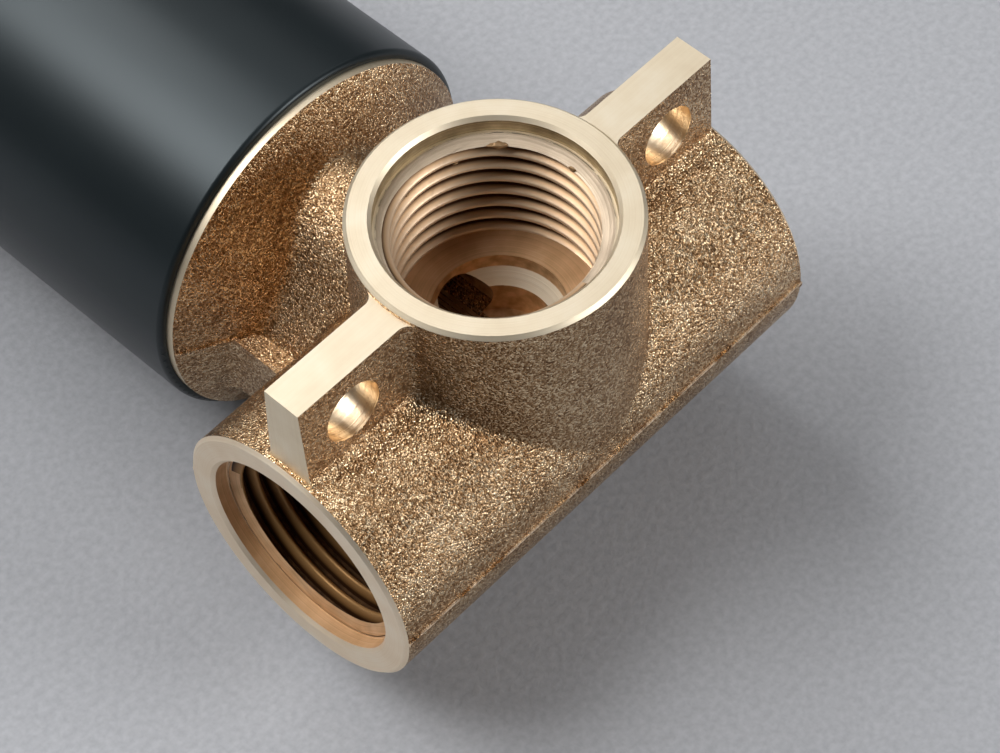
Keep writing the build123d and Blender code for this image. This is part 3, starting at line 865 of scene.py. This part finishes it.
# Pale crest, then painted groove shade towards the wall.
INLET_TONES_GROOVE_SHADE = [
    (0.0, (0.50, 0.28, 0.11)), (0.45, (0.28, 0.14, 0.048)), (0.75, (0.04, 0.014, 0.004)),
]
TAP_MARKS_PER_METRE = 1400.0
TAP_MARK_DEPTH = 0.02 * MM


def thread_finish(name, across, tones, metallic):
    material, tree, shader, place = new_material(
        name, Metallic=metallic, Roughness=0.46, Specular_IOR_Level=0.2,
    )
    kept = add_node(tree, "VectorMath", {0: place, 1: across}, operation="MULTIPLY")
    radius = add_node(tree, "VectorMath", {0: kept.outputs["Vector"]}, operation="LENGTH")
    groove = add_node(tree, "MapRange", {
        "Value": radius.outputs["Value"], "From Min": CREST_R, "From Max": THREAD_R,
    })
    tree.links.new(add_ramp(tree, groove.outputs["Result"], tones), shader["Base Color"])
    cut = use_group(tree, fine_mottle, Vector=place, Fineness=TAP_MARKS_PER_METRE)
    add_bump(tree, shader, cut["Height"], TAP_MARK_DEPTH)
    return material


thread_upright = thread_finish("thread_brass_upright", UPRIGHT_RINGS, OUTLET_TONES_GROOVE_SHADE, 0.65)
thread_level = thread_finish("thread_brass_level", TUBE_RINGS, INLET_TONES_GROOVE_SHADE, 0.4)
print("materials:", thread_upright.name, thread_level.name)

# %% [markdown]
# ## The three threads
# The outlet's thread stands upright, as it was spun. The two inlets lie along
# the tube, one turned to each side. Where a tap starts is chance, so each
# thread starts at an angle of its own, and the outlet's is the photograph's.

# %% Threads: the three ports
upright = Matrix.Identity(4)
along_x = Matrix.Rotation(math.radians(90), 4, "Y")
against_x = Matrix.Rotation(math.radians(-90), 4, "Y")
OUTLET_SPIN = math.radians(218.7)
COLD_SPIN = 0.4
HOT_SPIN = 2.2
outlet_top = boss_face - RECESS_DEEP
inlet_top = port_face - RECESS_DEEP
thread_piece(
    "outlet_thread", OUTLET_SHOULDER, outlet_top, OUTLET_SPIN,
    upright, thread_upright, first_turn_z,
)
thread_piece(
    "cold_inlet_thread", INLET_SHOULDER, inlet_top, COLD_SPIN,
    along_x, thread_level, mouth_x,
)
thread_piece(
    "hot_inlet_thread", INLET_SHOULDER, inlet_top, HOT_SPIN,
    against_x, thread_level, mouth_x,
)
print("threads: up to", round(outlet_top / MM, 2), "and out to", round(inlet_top / MM, 2), "mm")

# %% [markdown]
# ## Burrs on the outlet thread
# The tap tore a few crumbs of brass loose at the first turns, and they still
# hang on the crests. They could be sculpted, but only their broken outline
# shows. So each is a small ball, roughened with smooth noise and drawn out
# along the crest. The noise is taken at another place for each, so no two
# look alike. A burr is given by its turn in degrees, its height and its size.

# %% Burrs
BURRS = [
    (-138.6, 22.30, 0.48), (177.2, 22.35, 0.26), (-79.7, 20.9, 0.17),
    (-114.0, 20.7, 0.17), (-134.8, 22.25, 0.26),
]
BURR_R = 9.38 * MM
BURR_FORM = (0.75, 1.6, 0.7)
LUMP_SIZE = 0.30 * MM
LUMP_SHARE = 0.5
form = bmesh.new()
for turned, up, size in BURRS:
    crumb = bmesh.ops.create_icosphere(form, subdivisions=3, radius=size * MM)["verts"]
    for dot in crumb:
        lump = noise.noise(dot.co / LUMP_SIZE + Vector((turned, up, size)))
        dot.co *= 1.0 + LUMP_SHARE * lump
    around = Matrix.Rotation(math.radians(turned), 3, "Z")
    bmesh.ops.scale(form, verts=crumb, vec=BURR_FORM)
    bmesh.ops.translate(form, verts=crumb, vec=(BURR_R, 0, up * MM))
    bmesh.ops.rotate(form, verts=crumb, cent=(0, 0, 0), matrix=around)
for face in form.faces:
    face.smooth = True
burr_mesh = bpy.data.meshes.new("thread_burrs")
form.to_mesh(burr_mesh)
form.free()
burr_mesh.materials.append(crumb_brass)
burrs = bpy.data.objects.new("thread_burrs", burr_mesh)
bpy.context.scene.collection.objects.link(burrs)
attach(burrs, "valve")
print("burrs:", len(BURRS))

# %% [markdown]
# ## Every other piece of the frame
# The sleeve, the knob, the seals and the inside of the cartridge already have
# their true shape, so each is a smooth copy with the finish it has in a real
# valve. A table from piece to finish is enough.

# %% The other pieces
finish_of_piece = {
    "cover_sleeve": (black_coat, "black_coat"),
    "handle_knob": (black_coat, "black_coat"),
    "screw_plug": (black_plastic, "black_plastic"),
    "sleeve_cap_ring": (black_plastic, "black_plastic"),
    "ring_nut": (turned_y, "machined_brass"),
    "stem": (turned_y, "machined_brass"),
    "spline_adapter": (cream_plastic, "cartridge_plastic"),
    "cartridge_base": (cream_plastic, "cartridge_plastic"),
    "cartridge_shell": (cream_plastic, "cartridge_plastic"),
    "disc_driver": (cream_plastic, "cartridge_plastic"),
    "thrust_washer": (cream_plastic, "cartridge_plastic"),
    "stop_ring": (stop_plastic, "stop_plastic"),
    "fixed_disc": (ceramic, "disc_ceramic"),
    "moving_disc": (ceramic, "disc_ceramic"),
    "stem_clip": (steel, "steel"),
    "grub_screw": (steel, "steel"),
}
dressed = 1
for node, body in sorted(body_of_node.items()):
    if node == "valve_body":
        continue
    material, slot = finish_of_piece.get(node, (rubber, "rubber"))
    smooth_copy("dressed_" + node, node, body, [material])
    dressed += 1
print("dressed:", dressed, "pieces")

# %% [markdown]
# ## The table top
# The valve lies on a matt grey board with a very fine grain. A wide plane at
# the lowest point of the part is enough, because the camera looks down. Its
# grey is the photograph's, so the lamps don't have to make it.

# %% Floor
BOARD_TONES = [(0.3, (0.365, 0.372, 0.395)), (0.7, (0.435, 0.443, 0.468))]
BOARD_GRAIN_PER_METRE = 1300.0
BOARD_GRAIN_DEPTH = 0.06 * MM
FLOOR_HALF = 1.5
FLOOR_GAP = 0.02 * MM
board, tree, shader, place = new_material("grey_board", Roughness=0.75)
grain = use_group(tree, fine_mottle, Vector=place, Fineness=BOARD_GRAIN_PER_METRE)
tree.links.new(add_ramp(tree, grain["Height"], BOARD_TONES), shader["Base Color"])
add_bump(tree, shader, grain["Height"], BOARD_GRAIN_DEPTH)

form = bmesh.new()
bmesh.ops.create_grid(form, x_segments=4, y_segments=4, size=FLOOR_HALF)
bmesh.ops.translate(form, verts=form.verts, vec=(0, 0, cad_low.z - FLOOR_GAP))
floor_mesh = bpy.data.meshes.new("floor")
form.to_mesh(floor_mesh)
form.free()
floor_mesh.materials.append(board)
floor = bpy.data.objects.new("floor", floor_mesh)
bpy.context.scene.collection.objects.link(floor)
print("floor: at", round(cad_low.z / MM, 2), "mm")

# %% [markdown]
# ## The light
# Four square softboxes stand round the valve. The widest hangs behind the
# sleeve, where the camera meets its mirror image in the flat cut faces. One at
# the left shapes the neck, one in front draws the long glow on the sleeve, and
# a low one on the wall side picks out the round back of the tube.

# %% Lights and world
LAMP_DISTANCE = 0.65
ROOM_COLOUR = (0.80, 0.81, 0.84, 1.0)
ROOM_STRENGTH = 0.03


def softbox(name, turned, raised, size, power):
    turned = math.radians(turned)
    raised = math.radians(raised)
    level = Vector((math.cos(turned), math.sin(turned), 0.0))
    way = level * math.cos(raised) + Vector((0.0, 0.0, math.sin(raised)))
    data = bpy.data.lights.new(name, "AREA")
    data.shape = "SQUARE"
    data.size = size
    data.energy = power
    lamp = bpy.data.objects.new(name, data)
    lamp.location = way * LAMP_DISTANCE
    lamp.rotation_euler = (-way).to_track_quat("-Z", "Y").to_euler()
    bpy.context.scene.collection.objects.link(lamp)


softbox("behind_sleeve", 225, 58, 0.75, 1.09)
softbox("left", 315, 54, 0.30, 2.60)
softbox("front", 270, 45, 0.32, 1.30)
softbox("wall_side", 118, 30, 0.26, 2.35)

world = bpy.data.worlds.new("room")
bpy.context.scene.world = world
world.use_nodes = True
room = world.node_tree.nodes["Background"].inputs
room["Color"].default_value = ROOM_COLOUR
room["Strength"].default_value = ROOM_STRENGTH
print("lights: 4 softboxes")
